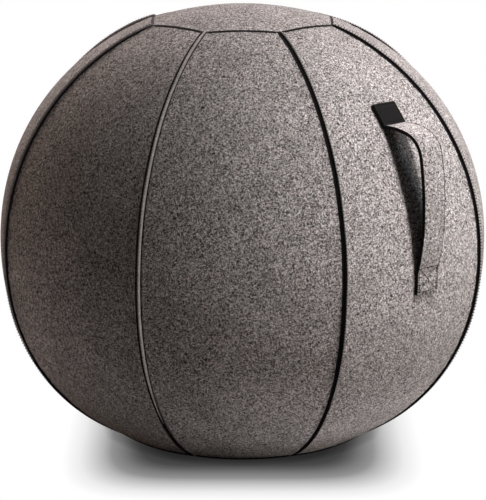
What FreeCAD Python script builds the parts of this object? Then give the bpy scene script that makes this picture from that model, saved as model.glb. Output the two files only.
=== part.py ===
"""Balance ball chair: a felt-covered sitting ball with a grab handle.

Millimetres, +Z up. The origin is on the floor, under the middle of the ball, and the
handle is on the -Y side. A zipped cover of eight felt gores and an octagonal top is
filled by an air-filled inner ball, and a weight ring in the base keeps it from rolling.
The ball's curves are drawn as flat facets, so that the whole model stays light.
"""
import FreeCAD, Part
import math
import os

from FreeCAD import Vector

os.makedirs("parts", exist_ok=True)

# The shape of the ball, measured to the outside of the felt along its seams
GORES = 8
SEAM_RADIUS = 332.0  # from the axis to a seam, where the ball is widest
MIDDLE_HEIGHT = 266.0  # the widest ring, above the floor
CROWN_RISE = 310.0  # how far the seams' curve would rise above the widest ring
SKIRT_DROP = 300.0  # how far it would drop below it, if the floor didn't cut it off
ROUNDNESS = 2.1  # power of the curve: 2 is an ellipse, and more is squarer
GORE_BOW = 445.0  # radius of the felt's bow from seam to seam
GORE_BANDS = 16  # facets along a gore
GORE_CHORDS = 7  # facets across a gore, an odd number
BALL_SIDES = 24  # facets round the inner ball and the dome, a multiple of GORES
DOME_RINGS = 4

# The cover
FELT = 3.0
SEAM_WIDTH = 5.0
SEAM_PROUD = 0.7
TOP_PANEL_RADIUS = 127.0  # from the axis to a corner of the octagon
TOP_SEAM_WIDTH = 2.0
TOP_SEAM_PROUD = 0.3
GORE_END_HEIGHT = 7.0  # where the seams end, above the floor
WELT_WIDTH = 4.0
WELT_PROUD = 0.4

# The base
FOOT_THICKNESS = 6.0
FOOT_GAP = 0.3  # from the foot's edge to the welt
FOOT_CHAMFER = 1.5
BASE_PANEL = 2.5

# The inner ball, its valve and the weight ring
LINER_GAP = 0.3
BLADDER_WALL = 1.2
BLADDER_FLAT_RADIUS = 90.0
BLADDER_LEAVES_HEIGHT = 78.0  # where the inner ball leaves the cover, going down
VALVE_FLANGE_RADIUS = 14.0
VALVE_BODY_RADIUS = 7.5
VALVE_BORE_RADIUS = 4.6
VALVE_HEIGHT = 16.0
PLUG_HEAD_RADIUS = 6.5
PLUG_HEAD = 1.4
PLUG_LENGTH = 13.0
PLUG_FIT = 0.1
WEIGHT_INNER_RADIUS = 128.0
WEIGHT_FLOOR_INSET = 7.5  # from the inside of the cover, at the floor of the base
WEIGHT_SIDE_INSET = 2.2
WEIGHT_SIDE_RISE = 6.0
WEIGHT_TIP_INSET = 16.0
WEIGHT_TIP_RISE = 22.0
WEIGHT_GAP = 0.5
WEIGHT_STEPS = 3

# The zip in the base, on a circle about the axis
ZIP_RADIUS = 118.0
ZIP_START = -10.0
ZIP_SPAN = 200.0
ZIP_CHANNEL = 30.0
ZIP_SLOT = 16.0
TAPE_WIDTH = 9.0
TAPE = 0.8
TOOTH_PITCH = 5.0
TOOTH_WIDTH = 2.8
TOOTH_DEPTH = 4.5
TOOTH_HEIGHT = 2.4
TOOTH_FIT = 0.02
ROW_GAP = 1.4
STOP_ROOM = 4.0
STOP_LENGTH = 3.0

# The slider and its pull tab
SLIDER_WIDTH = 13.0
SLIDER_LENGTH = 13.0
SLIDER_PLATE = 1.2
SLIDER_CLEARANCE = 0.3
POST_WIDTH = 0.8
POST_LENGTH = 4.0
BAIL_WIDTH = 3.0
BAIL_LENGTH = 7.0
BAIL_BAR = 1.0
PULL_LENGTH = 24.0
PULL_WIDTH = 8.0
PULL_THICKNESS = 1.0

# The grab handle
STRAP_WIDTH = 38.0
STRAP_FELT = 3.0
STRAP_BACKING = 1.2
STRAP_LIFT = 0.2
LAYER_GAP = 0.05
STRAP_TOP_HEIGHT = 473.0
STRAP_FREE_FROM = 453.0
STRAP_FREE_TO = 270.0
STRAP_END_HEIGHT = 243.0
HANDLE_BOW = 52.0  # from the straight line between the sewn ends to the strap's inside
HANDLE_CREST = 0.27  # where that is deepest, as a share of the line from the top
LABEL_WIDTH = 41.0
LABEL_THICKNESS = 1.0

HALF_GORE = math.pi / GORES
GORE_TURN = 360 / GORES
HANDLE_SIDE = -90.0  # degrees from +X
ORIGIN = Vector(0, 0, 0)
UP = Vector(0, 0, 1)
MIDDLE = Vector(0, 0, MIDDLE_HEIGHT)
FLAT = 1e-7  # how far out of a plane a facet may lie


def save(name, shape):
    shape.exportStep("parts/" + name + ".step")
    print(f"{name}: {len(shape.Solids)} solid(s), {shape.Volume / 1000:.1f} cm3")


def turned(shape, degrees):
    copy = shape.copy()
    copy.rotate(ORIGIN, UP, degrees)
    return copy


def closed(points):
    return Part.makePolygon(points + points[:1])


def revolved(points, start=0.0, span=360.0):
    """A solid of revolution about the axis: points are (radius, height)."""
    face = Part.Face(closed([Vector(radius, 0, height) for radius, height in points]))
    return turned(face.revolve(ORIGIN, UP, span), start)


def facet(points):
    """A flat face, or two triangles where four points don't lie in one plane."""
    first, second, third, fourth = points
    normal = (second - first).cross(third - first)
    if abs((fourth - first).dot(normal)) < FLAT * normal.Length:
        return [Part.Face(closed(points))]
    return [Part.Face(closed([first, second, third])), Part.Face(closed([first, third, fourth]))]


def faceted(rings, loop=False):
    """A solid with flat facets between outlines of equally many points.

    The first and last outlines are its ends, or meet each other in a loop.
    """
    pairs = list(zip(rings, rings[1:]))
    faces = [] if loop else [Part.Face(closed(rings[0])), Part.Face(closed(rings[-1]))]
    if loop:
        pairs.append((rings[-1], rings[0]))
    for low, high in pairs:
        for here in range(len(low)):
            after = (here + 1) % len(low)
            faces += facet([low[here], low[after], high[after], high[here]])
    shell = Part.makeCompound(faces)
    shell.sewShape()
    solid = Part.Solid(shell.Shells[0])
    if solid.Volume < 0:
        solid.reverse()
    return solid


def sector(inner, outer, low, high, start, span):
    """A piece of a flat ring about the axis: radii, heights and degrees."""
    return revolved([(inner, low), (outer, low), (outer, high), (inner, high)], start, span)


def between(first, last, count):
    """Evenly spaced values, with both ends."""
    return [first + (last - first) * i / count for i in range(count + 1)]


# The seams' curve, seen from the middle of the ball


def seam_reach(latitude):
    """Distance from the middle of the ball to a seam, at an angle above the widest ring."""
    height = CROWN_RISE if latitude > 0 else SKIRT_DROP
    across = abs(math.cos(latitude)) / SEAM_RADIUS
    along = abs(math.sin(latitude)) / height
    return (across**ROUNDNESS + along**ROUNDNESS) ** (-1 / ROUNDNESS)


def latitude_of_rise(rise):
    """The angle at which the seam is so far above the widest ring, or below it."""
    height = CROWN_RISE if rise > 0 else SKIRT_DROP
    radius = SEAM_RADIUS * (1 - (abs(rise) / height) ** ROUNDNESS) ** (1 / ROUNDNESS)
    return math.atan2(rise, radius)


def latitude_of_radius(radius):
    """The angle at which the upper half of the seam is so far from the axis."""
    rise = CROWN_RISE * (1 - (radius / SEAM_RADIUS) ** ROUNDNESS) ** (1 / ROUNDNESS)
    return math.atan2(rise, radius)


def seam_angle(length, latitude):
    """The angle that a short length along the seam takes up."""
    return length / seam_reach(latitude)


class Fan:
    """The plane through the middle of the ball and a gore's two seams at one latitude.

    Distances in the plane are "out" from the middle of the ball and "side" along the
    plane's level direction. The felt's bow is an arc about a point on the out line.
    """

    def __init__(self, latitude, depth=0.0):
        reach = seam_reach(latitude)
        out = reach * math.cos(latitude) * math.cos(HALF_GORE)
        side = reach * math.cos(latitude) * math.sin(HALF_GORE)
        rise = reach * math.sin(latitude)
        self.tilt = math.atan2(rise, out)
        shrink = 1 - depth / reach
        self.centre = (math.hypot(out, rise) - math.sqrt(GORE_BOW**2 - side**2)) * shrink
        self.bow = GORE_BOW * shrink

    def point(self, out, side=0.0):
        return MIDDLE + Vector(out * math.cos(self.tilt), side, out * math.sin(self.tilt))

    def crest(self):
        return self.point(self.centre + self.bow)

    def edge(self, gap):
        """Where the arc meets a plane that lies gap inside the seam's own plane."""
        slope = math.cos(self.tilt) * math.tan(HALF_GORE)
        shift = gap / math.cos(HALF_GORE)
        lead = self.centre + slope * shift
        rest = self.centre**2 + shift**2 - self.bow**2
        out = (lead + math.sqrt(lead**2 - (1 + slope**2) * rest)) / (1 + slope**2)
        return out, slope * out - shift

    def arc(self, gap):
        """Evenly spaced points of the arc, from one side to the other."""
        half = math.asin(self.edge(gap)[1] / self.bow)
        points = []
        for angle in between(-half, half, GORE_CHORDS):
            out = self.centre + self.bow * math.cos(angle)
            points.append(self.point(out, self.bow * math.sin(angle)))
        return points

    def facet_middle(self):
        """Distance out to the middle of the arc's middle facet."""
        half = math.asin(self.edge(0)[1] / self.bow)
        return self.centre + self.bow * math.cos(half / GORE_CHORDS)


def gore_band(latitudes, outer=0.0, inner=FELT, gap=0.0):
    """Felt along one gore, whose middle is on +X, between two depths below its surface."""
    rings = []
    for latitude in latitudes:
        top = Fan(latitude, outer).arc(gap)
        bottom = Fan(latitude, inner).arc(gap)
        rings.append(top + bottom[::-1])
    return faceted(rings)


GORE_LOW = latitude_of_rise(GORE_END_HEIGHT - MIDDLE_HEIGHT)
TOP_CORNER = latitude_of_radius(TOP_PANEL_RADIUS)
GORE_HIGH = TOP_CORNER - seam_angle(TOP_SEAM_WIDTH / 2, TOP_CORNER)
TOP_EDGE = TOP_CORNER + seam_angle(TOP_SEAM_WIDTH / 2, TOP_CORNER)
GORE_LATITUDES = between(GORE_LOW, GORE_HIGH, GORE_BANDS)


def gore_side(number):
    """Direction of a gore's middle in degrees. The first gore carries the handle."""
    return HANDLE_SIDE + number * GORE_TURN


def octagon(side, height):
    """Level points below or above the seams, with each gore's side so far from the axis."""
    across = side / math.cos(HALF_GORE)
    points = []
    for number in range(GORES):
        angle = math.radians(gore_side(number)) + HALF_GORE
        points.append(Vector(across * math.cos(angle), across * math.sin(angle), height))
    return points


def make_gores():
    gore = gore_band(GORE_LATITUDES, gap=SEAM_WIDTH / 2)
    for number in range(GORES):
        save(f"gore_panel_{number + 1}", turned(gore, gore_side(number)))


def make_seams():
    """The black cord that joins two gores, with a low ridge along its middle."""
    half = SEAM_WIDTH / 2
    rings = []
    for latitude in GORE_LATITUDES:
        reach = seam_reach(latitude)
        outline = [
            (reach - FELT, -half),
            (reach, -half),
            (reach + SEAM_PROUD, -half / 3),
            (reach + SEAM_PROUD, half / 3),
            (reach, half),
            (reach - FELT, half),
        ]
        points = []
        for out, side in outline:
            points.append(MIDDLE + Vector(out * math.cos(latitude), side, out * math.sin(latitude)))
        rings.append(points)
    seam = faceted(rings)
    for number in range(GORES):
        save(f"seam_{number + 1}", turned(seam, gore_side(number) + GORE_TURN / 2))


# The top: a shallow dome that carries on the bow of the gores


def dome():
    """Centre height and radius of the sphere through the gores' top corners and edges."""
    fan = Fan(TOP_CORNER)
    corner = Vector(TOP_PANEL_RADIUS, 0, fan.point(fan.edge(0)[0]).z)
    edge = fan.crest()
    height = (corner.dot(corner) - edge.dot(edge)) / (2 * (corner.z - edge.z))
    return height, corner.distanceToPoint(Vector(0, 0, height))


def ring(radius, height):
    """A level polygon about the axis, with a corner over the middle of each gore."""
    points = []
    for number in range(BALL_SIDES):
        angle = math.radians(HANDLE_SIDE + number * 360 / BALL_SIDES)
        points.append(Vector(radius * math.cos(angle), radius * math.sin(angle), height))
    return points


def dome_rings(outer_radius, depth):
    """Rings of the dome from its rim to its top, at a depth below its surface."""
    height, radius = dome()
    rings = []
    for number in range(DOME_RINGS):
        across = outer_radius * (1 - number / DOME_RINGS)
        rings.append(ring(across, height + math.sqrt((radius - depth) ** 2 - across**2)))
    return rings


def dome_shell(outer, inner):
    rim = TOP_PANEL_RADIUS * 1.1
    return faceted(dome_rings(rim, outer)).cut(faceted(dome_rings(rim, inner)))


def pyramid(latitude):
    """The space above the fan planes at a latitude, from the middle of the ball."""
    reach = CROWN_RISE * 1.2
    tilt = Fan(latitude).tilt
    corners = octagon(reach * math.cos(tilt), MIDDLE_HEIGHT + reach * math.sin(tilt))
    return Part.makeLoft([Part.Vertex(MIDDLE), closed(corners)], True, True)


def make_top():
    panel_space = pyramid(TOP_EDGE)
    seam_space = pyramid(GORE_HIGH).cut(panel_space)
    save("top_panel", panel_space.common(dome_shell(0, FELT)))
    save("top_seam", seam_space.common(dome_shell(-TOP_SEAM_PROUD, FELT)))


WELT_LOW = GORE_LOW - seam_angle(WELT_WIDTH, GORE_LOW)


def make_welt():
    """The black welt that carries the gores' lower edges down to the foot."""
    band = gore_band([WELT_LOW, GORE_LOW], outer=-WELT_PROUD)
    pieces = [turned(band, gore_side(number)) for number in range(GORES)]
    save("base_welt", pieces[0].multiFuse(pieces[1:]).removeSplitter())


# Places on the cover's inside and outside


def latitude_where(rise, height, low, high):
    """The latitude between two others at which rise(latitude) comes to a height."""
    for _ in range(50):
        middle = (low + high) / 2
        if rise(middle) < height:
            low = middle
        else:
            high = middle
    return middle


def lining_point(latitude, depth):
    """Radius and height of a point so far inside the middle facet of a gore."""
    fan = Fan(latitude, FELT)
    point = fan.point(fan.facet_middle() - depth)
    return point.x, point.z


def cover_inside(height):
    """Distance from the axis to the inside of the cover, at a height near the floor."""
    latitude = latitude_where(lambda latitude: lining_point(latitude, 0)[1], height, WELT_LOW, 0)
    return lining_point(latitude, 0)[0]


# The base and the zip that is sewn under its panel


FOOT_RADIUS = lining_point(WELT_LOW, 0)[0] - FOOT_GAP


def base_outline(height):
    """The inside of the welt at a height, carried on round all the gores."""
    lower, upper = (Fan(latitude, FELT).arc(0) for latitude in (WELT_LOW, GORE_LOW))
    side = []
    for low, high in zip(lower[:-1], upper[:-1]):
        share = (height - low.z) / (high.z - low.z)
        side.append(low + (high - low) * share)
    points = []
    for number in range(GORES):
        place = FreeCAD.Rotation(UP, gore_side(number))
        points += [place.multVec(point) for point in side]
    return points


def zip_angle(length):
    """Degrees that a length along the zip's circle takes up."""
    return math.degrees(length / ZIP_RADIUS)


def make_base():
    spare = zip_angle(STOP_ROOM + PULL_LENGTH)
    half = ZIP_CHANNEL / 2
    channel = sector(
        ZIP_RADIUS - half, ZIP_RADIUS + half, 0, FOOT_THICKNESS, ZIP_START - spare, ZIP_SPAN + 2 * spare
    )
    foot = revolved(
        [
            (0, 0),
            (FOOT_RADIUS - FOOT_CHAMFER, 0),
            (FOOT_RADIUS, FOOT_CHAMFER),
            (FOOT_RADIUS, FOOT_THICKNESS),
            (0, FOOT_THICKNESS),
        ]
    )
    save("foot_pad", foot.cut(channel))
    slot = sector(
        ZIP_RADIUS - ZIP_SLOT / 2,
        ZIP_RADIUS + ZIP_SLOT / 2,
        FOOT_THICKNESS,
        FOOT_THICKNESS + BASE_PANEL,
        ZIP_START,
        ZIP_SPAN,
    )
    panel = Part.Face(closed(base_outline(FOOT_THICKNESS))).extrude(Vector(0, 0, BASE_PANEL))
    save("base_panel", panel.cut(slot))


TAPE_TOP = FOOT_THICKNESS
TAPE_LOW = TAPE_TOP - TAPE
TEETH_LOW = TAPE_TOP - TAPE / 2 - TOOTH_HEIGHT / 2
TEETH_TOP = TEETH_LOW + TOOTH_HEIGHT
TOOTH_ROOT = ROW_GAP / 2 + TOOTH_DEPTH


def tooth_row(side):
    """The teeth of one side, inner (-1) or outer (+1), half a pitch apart from the other's."""
    start = ZIP_RADIUS + ROW_GAP / 2 if side > 0 else ZIP_RADIUS - TOOTH_ROOT
    room = math.radians(ZIP_SPAN) * ZIP_RADIUS - 2 * STOP_ROOM
    tooth = Part.makeBox(
        TOOTH_DEPTH - TOOTH_FIT,
        TOOTH_WIDTH,
        TOOTH_HEIGHT,
        Vector(start + (TOOTH_FIT if side < 0 else 0), -TOOTH_WIDTH / 2, TEETH_LOW),
    )
    teeth = []
    for number in range(int(room / TOOTH_PITCH) - 1):
        place = STOP_ROOM + (number + 1 + side / 4) * TOOTH_PITCH
        teeth.append(turned(tooth, ZIP_START + zip_angle(place)))
    return Part.makeCompound(teeth)


def make_zip():
    root = TOOTH_ROOT
    inside = (ZIP_RADIUS - root - TAPE_WIDTH, ZIP_RADIUS - root)
    outside = (ZIP_RADIUS + root, ZIP_RADIUS + root + TAPE_WIDTH)
    save("zip_tape_inner", sector(*inside, TAPE_LOW, TAPE_TOP, ZIP_START, ZIP_SPAN))
    save("zip_tape_outer", sector(*outside, TAPE_LOW, TAPE_TOP, ZIP_START, ZIP_SPAN))
    save("zip_teeth_inner", tooth_row(-1))
    save("zip_teeth_outer", tooth_row(1))
    stops = []
    for start in (ZIP_START, ZIP_START + ZIP_SPAN - zip_angle(STOP_LENGTH)):
        stops.append(
            sector(
                ZIP_RADIUS - root, ZIP_RADIUS + root, TEETH_LOW, TEETH_TOP, start, zip_angle(STOP_LENGTH)
            )
        )
    save("zip_stops", Part.makeCompound(stops))


SLIDER_LOW = TEETH_LOW - SLIDER_CLEARANCE
SLIDER_TOP = TEETH_TOP + SLIDER_CLEARANCE
SLIDER_START = ZIP_START + zip_angle(STOP_ROOM)
BAIL_ANGLE = SLIDER_START + zip_angle(SLIDER_LENGTH / 2)
BAIL_WINDOW = PULL_THICKNESS + 2 * SLIDER_CLEARANCE
BAIL_TOP = SLIDER_LOW - SLIDER_PLATE
PULL_HEIGHT = BAIL_TOP - SLIDER_CLEARANCE - PULL_THICKNESS / 2


def slider_piece(inner, outer, low, high, length=SLIDER_LENGTH):
    start = BAIL_ANGLE - zip_angle(length / 2)
    return sector(ZIP_RADIUS + inner, ZIP_RADIUS + outer, low, high, start, zip_angle(length))


def make_slider():
    """Two plates with turned-in flanges, joined by a post between the rows of teeth."""
    half = SLIDER_WIDTH / 2
    lip = TOOTH_ROOT + SLIDER_CLEARANCE
    post = POST_WIDTH / 2
    pieces = [
        slider_piece(-half, half, BAIL_TOP, SLIDER_LOW),
        slider_piece(-half, half, SLIDER_TOP, SLIDER_TOP + SLIDER_PLATE),
        slider_piece(-post, post, SLIDER_LOW, SLIDER_TOP, POST_LENGTH),
    ]
    for inner, outer in ((-half, -lip), (lip, half)):
        pieces.append(slider_piece(inner, outer, SLIDER_LOW, TAPE_LOW - SLIDER_CLEARANCE))
        pieces.append(slider_piece(inner, outer, TAPE_TOP + SLIDER_CLEARANCE, SLIDER_TOP))
    pieces.append(turned(bail(), BAIL_ANGLE))
    save("zip_slider", pieces[0].multiFuse(pieces[1:]).removeSplitter())


def bail():
    """The bridge under the slider that carries the pull tab, drawn at angle 0."""
    height = BAIL_WINDOW + BAIL_BAR
    left = ZIP_RADIUS - BAIL_WIDTH / 2
    bridge = Part.makeBox(
        BAIL_WIDTH, BAIL_LENGTH, height, Vector(left, -BAIL_LENGTH / 2, BAIL_TOP - height)
    )
    window = Part.makeBox(
        BAIL_WIDTH,
        BAIL_LENGTH - 2 * BAIL_BAR,
        BAIL_WINDOW,
        Vector(left, BAIL_BAR - BAIL_LENGTH / 2, BAIL_TOP - BAIL_WINDOW),
    )
    return bridge.cut(window)


def make_pull():
    """A tab whose end bar turns in the slider's bridge. It lies flat along the zip."""
    low = PULL_HEIGHT - PULL_THICKNESS / 2
    bar = PULL_THICKNESS / 2
    half = PULL_WIDTH / 2
    straight = PULL_LENGTH - half
    tab = Part.makeBox(
        PULL_WIDTH, bar + straight, PULL_THICKNESS, Vector(ZIP_RADIUS - half, -bar, low)
    )
    tip = Part.makeCylinder(half, PULL_THICKNESS, Vector(ZIP_RADIUS, straight, low))
    hole_side = BAIL_WIDTH / 2 + SLIDER_CLEARANCE
    hole = Part.makeBox(
        2 * hole_side,
        BAIL_LENGTH / 2 + SLIDER_CLEARANCE + BAIL_BAR - bar,
        PULL_THICKNESS,
        Vector(ZIP_RADIUS - hole_side, bar, low),
    )
    pull = tab.fuse(tip).cut(hole).removeSplitter()
    save("zip_pull", turned(pull, BAIL_ANGLE))


# The inner ball, with its valve, and the weight ring in the wedge below it


BASE_FLOOR = FOOT_THICKNESS + BASE_PANEL
BLADDER_FLOOR = BASE_FLOOR + LINER_GAP


def lower_arc():
    """The arc from the flat underside to where the inner ball meets the cover."""
    rises = [(latitude, lining_point(latitude, LINER_GAP)[1]) for latitude in GORE_LATITUDES]
    leaving = [latitude for latitude, rise in rises if rise > BLADDER_LEAVES_HEIGHT][0]
    radius, height = lining_point(leaving, LINER_GAP)
    run, rise = radius - BLADDER_FLAT_RADIUS, height - BLADDER_FLOOR
    return (run**2 + rise**2) / (2 * rise), leaving


def under_ball(radius, depth=0.0):
    """Height of the inner ball's underside at a radius."""
    bend = lower_arc()[0]
    run = max(radius - BLADDER_FLAT_RADIUS, 0)
    return BLADDER_FLOOR + bend - math.sqrt((bend - depth) ** 2 - run**2)


def bladder(depth):
    """The inner ball's outer surface as a solid, or the air in it at the wall's depth."""
    leaving = lower_arc()[1]
    side = LINER_GAP + depth
    outline = []
    for radius in between(BLADDER_FLAT_RADIUS, lining_point(leaving, side)[0], 4)[:-1]:
        outline.append((radius, under_ball(radius, depth)))
    for latitude in GORE_LATITUDES:
        if latitude >= leaving:
            outline.append(lining_point(latitude, side))
    rings = [ring(radius, height) for radius, height in outline]
    rings += dome_rings(TOP_PANEL_RADIUS, FELT + 3 * LINER_GAP + depth)[1:]
    return faceted(rings)


def make_inner_ball():
    hole = Part.makeCylinder(VALVE_FLANGE_RADIUS, BLADDER_WALL, Vector(0, 0, BLADDER_FLOOR))
    save("inner_ball", bladder(0).cut(bladder(BLADDER_WALL)).cut(hole))


def make_valve():
    low = BLADDER_FLOOR
    flange_top = low + BLADDER_WALL
    recess_top = low + PLUG_HEAD + PLUG_FIT
    top = low + VALVE_HEIGHT
    recess_radius = PLUG_HEAD_RADIUS + PLUG_FIT
    seat = [
        (recess_radius, low),
        (VALVE_FLANGE_RADIUS, low),
        (VALVE_FLANGE_RADIUS, flange_top),
        (VALVE_BODY_RADIUS, flange_top),
        (VALVE_BODY_RADIUS, top),
        (VALVE_BORE_RADIUS, top),
        (VALVE_BORE_RADIUS, recess_top),
        (recess_radius, recess_top),
    ]
    save("valve_seat", revolved(seat))
    stem = VALVE_BORE_RADIUS - PLUG_FIT
    head = Part.makeCylinder(PLUG_HEAD_RADIUS, PLUG_HEAD, Vector(0, 0, low))
    shank = Part.makeCylinder(stem, PLUG_LENGTH, Vector(0, 0, low))
    save("valve_plug", head.fuse(shank).removeSplitter())


def make_weight_ring():
    side = BASE_FLOOR + WEIGHT_SIDE_RISE
    tip = cover_inside(BASE_FLOOR + WEIGHT_TIP_RISE) - WEIGHT_TIP_INSET
    points = [
        (WEIGHT_INNER_RADIUS, BASE_FLOOR),
        (cover_inside(BASE_FLOOR) - WEIGHT_FLOOR_INSET, BASE_FLOOR),
        (cover_inside(side) - WEIGHT_SIDE_INSET, side),
    ]
    for radius in between(tip, WEIGHT_INNER_RADIUS, WEIGHT_STEPS):
        points.append((radius, under_ball(radius) - WEIGHT_GAP))
    outline = [Vector(radius, 0, height) for radius, height in points]
    turns = []
    for number in range(BALL_SIDES):
        place = FreeCAD.Rotation(UP, HANDLE_SIDE + number * 360 / BALL_SIDES)
        turns.append([place.multVec(point) for point in outline])
    save("weight_ring", faceted(turns, loop=True))


# The handle: a felt strap with a backing, drawn as a strip in the plane of the handle


def on_gore(height):
    """Point and downward direction along the handle's gore, as (out, height) vectors."""
    step = 0.01
    latitude = latitude_where(lambda latitude: Fan(latitude).crest().z, height, GORE_LOW, GORE_HIGH)
    above, below = Fan(latitude + step).crest(), Fan(latitude - step).crest()
    here = Fan(latitude).crest()
    down = (below - above).normalize()
    return here + outward(down) * STRAP_LIFT, down


def outward(direction):
    """The side of a downward direction that points away from the ball."""
    return Vector(-direction.z, 0, direction.x)


def mirrored(direction, chord):
    """The direction at the other end of an arc with this chord."""
    along = Vector(chord).normalize()
    return along * (2 * direction.dot(along)) - direction


def biarc(start, start_way, end, end_way):
    """Two tangent arcs between two points with given directions."""
    chord = end - start
    ways = start_way + end_way
    spread = 2 * (1 - start_way.dot(end_way))
    reach = chord.dot(ways)
    leg = (-reach + math.sqrt(reach**2 + spread * chord.dot(chord))) / spread
    joint = (start + end + (start_way - end_way) * leg) * 0.5
    joint_way = mirrored(start_way, joint - start)
    return (start, start_way, joint, joint_way), (joint, joint_way, end, end_way)


def arc_edge(arc, offset):
    """The edge that runs beside an arc at an outward offset."""
    start, start_way, end, end_way = arc
    chord = end - start
    normal = outward(start_way)
    reach = chord.dot(chord) / (2 * chord.dot(normal))
    centre = start + normal * reach
    middle_way = outward((start_way + end_way).normalize())
    points = (
        start + normal * offset,
        centre - middle_way * (reach - offset),
        end + outward(end_way) * offset,
    )
    return Part.Arc(*points).toShape()


def strip(arcs, low, high, width):
    """A strap along a chain of arcs, between two outward offsets, on the handle's side."""
    upper = [arc_edge(arc, high) for arc in arcs]
    lower = [arc_edge(arc, low) for arc in arcs]
    starts = [edges[0].valueAt(edges[0].FirstParameter) for edges in (upper, lower)]
    ends = [edges[-1].valueAt(edges[-1].LastParameter) for edges in (upper, lower)]
    caps = [Part.LineSegment(*starts).toShape(), Part.LineSegment(*ends).toShape()]
    outline = Part.Wire(Part.__sortEdges__(upper + lower + caps))
    solid = Part.Face(outline).extrude(Vector(0, width, 0))
    solid.translate(Vector(0, -width / 2, 0))
    return turned(solid, HANDLE_SIDE)


def make_handle():
    felt_low = STRAP_BACKING + LAYER_GAP
    felt_high = felt_low + STRAP_FELT
    top, top_way = on_gore(STRAP_TOP_HEIGHT)
    leave, leave_way = on_gore(STRAP_FREE_FROM)
    meet, meet_way = on_gore(STRAP_FREE_TO)
    end, end_way = on_gore(STRAP_END_HEIGHT)
    line = meet - leave
    line_way = Vector(line).normalize()
    crest = leave + line * HANDLE_CREST + outward(line_way) * HANDLE_BOW

    upper_end = [(top, mirrored(leave_way, leave - top), leave, leave_way)]
    upper_bend, upper_grip = biarc(leave, leave_way, crest, line_way)
    lower_grip, lower_bend = biarc(crest, line_way, meet, meet_way)
    lower_end = [(meet, meet_way, end, mirrored(meet_way, end - meet))]
    grip = [upper_grip, lower_grip]

    save("strap_upper_end", strip(upper_end, 0, felt_high, STRAP_WIDTH))
    save("strap_upper_bend", strip([upper_bend], 0, felt_high, STRAP_WIDTH))
    save("strap_grip", strip(grip, felt_low, felt_high, STRAP_WIDTH))
    save("strap_backing", strip(grip, 0, STRAP_BACKING, STRAP_WIDTH))
    save("strap_lower_bend", strip([lower_bend], 0, felt_high, STRAP_WIDTH))
    save("strap_lower_end", strip(lower_end, 0, felt_high, STRAP_WIDTH))
    label_low = felt_high + LAYER_GAP
    save("label_patch", strip(upper_end, label_low, label_low + LABEL_THICKNESS, LABEL_WIDTH))
    for name, point in (("leaves", leave), ("crest", crest), ("joint", lower_grip[2]), ("meets", meet)):
        print(f"handle {name}: {point.x:.2f} out, {point.z:.2f} up")


make_gores()
make_seams()
make_top()
make_welt()
make_base()
make_zip()
make_slider()
make_pull()
make_inner_ball()
make_valve()
make_weight_ring()
make_handle()
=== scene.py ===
# %% [markdown]
# # A felt-covered balance ball chair
# The chair is an air-filled ball in a zipped felt cover. Eight pointed gores and an
# octagonal top are sewn together with black thread, and a felt strap on one side is the
# grab handle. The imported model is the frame: it gives the sizes and the bodies, and this
# script adds the looks. Everything is in metres, with the handle on the -Y side.

# %% The frame and the tools
import math

import bmesh
import bpy
from mathutils import Matrix, Vector, noise


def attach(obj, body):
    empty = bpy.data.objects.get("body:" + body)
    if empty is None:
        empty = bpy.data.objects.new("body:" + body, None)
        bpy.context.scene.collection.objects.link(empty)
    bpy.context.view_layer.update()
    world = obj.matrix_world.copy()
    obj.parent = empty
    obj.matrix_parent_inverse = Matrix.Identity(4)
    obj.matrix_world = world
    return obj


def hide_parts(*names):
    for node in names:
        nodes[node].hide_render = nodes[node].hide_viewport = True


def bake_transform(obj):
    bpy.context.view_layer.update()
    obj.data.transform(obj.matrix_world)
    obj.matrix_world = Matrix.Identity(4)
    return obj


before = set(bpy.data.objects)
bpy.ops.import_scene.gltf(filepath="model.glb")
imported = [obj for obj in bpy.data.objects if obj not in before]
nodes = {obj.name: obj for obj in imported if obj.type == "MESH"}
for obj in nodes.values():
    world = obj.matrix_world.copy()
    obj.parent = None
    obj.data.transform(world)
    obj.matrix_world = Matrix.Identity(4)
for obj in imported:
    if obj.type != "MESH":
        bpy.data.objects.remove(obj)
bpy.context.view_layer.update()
MM = 0.001

# %% [markdown]
# ## The shape of the ball
# Eight flat-cut gores can't make a true sphere. Each seam runs from the base to the top
# along one curve, and the felt bows from seam to seam on a gentler arc than a sphere's.
# A sphere could be pushed about by hand until it looked right, but the ridges and the
# stitches would then have no line to follow. So both curves are formulas here, and any
# point of the cover can be asked for by its latitude and by how far across its gore it
# lies. Above its widest ring a seam is a quarter of a superellipse, an oval whose
# roundness is a power (2 gives an ellipse, and more is squarer), and below it another.

# %% The seams' curve
GORES = 8
HALF_GORE = math.pi / GORES
SEAM_RADIUS = 332 * MM
MIDDLE = Vector((0, 0, 266 * MM))
CROWN_RISE, CROWN_ROUNDNESS = 312 * MM, 2.05
SKIRT_DROP, SKIRT_ROUNDNESS = 300 * MM, 2.1


def half_shape(rise):
    """Height and roundness of the half of the ball that lies above or below the widest ring."""
    return (CROWN_RISE, CROWN_ROUNDNESS) if rise > 0 else (SKIRT_DROP, SKIRT_ROUNDNESS)


def seam_reach(latitude):
    """Distance from the middle of the ball to a seam at an angle above the widest ring."""
    height, roundness = half_shape(latitude)
    across = abs(math.cos(latitude)) / SEAM_RADIUS
    along = abs(math.sin(latitude)) / height
    return (across**roundness + along**roundness) ** (-1 / roundness)


# %% Where the gores end
GORE_END_HEIGHT = 7 * MM
TOP_CORNER_RADIUS = 127 * MM


def latitude_of_rise(rise):
    height, roundness = half_shape(rise)
    radius = SEAM_RADIUS * (1 - (abs(rise) / height) ** roundness) ** (1 / roundness)
    return math.atan2(rise, radius)


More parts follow.
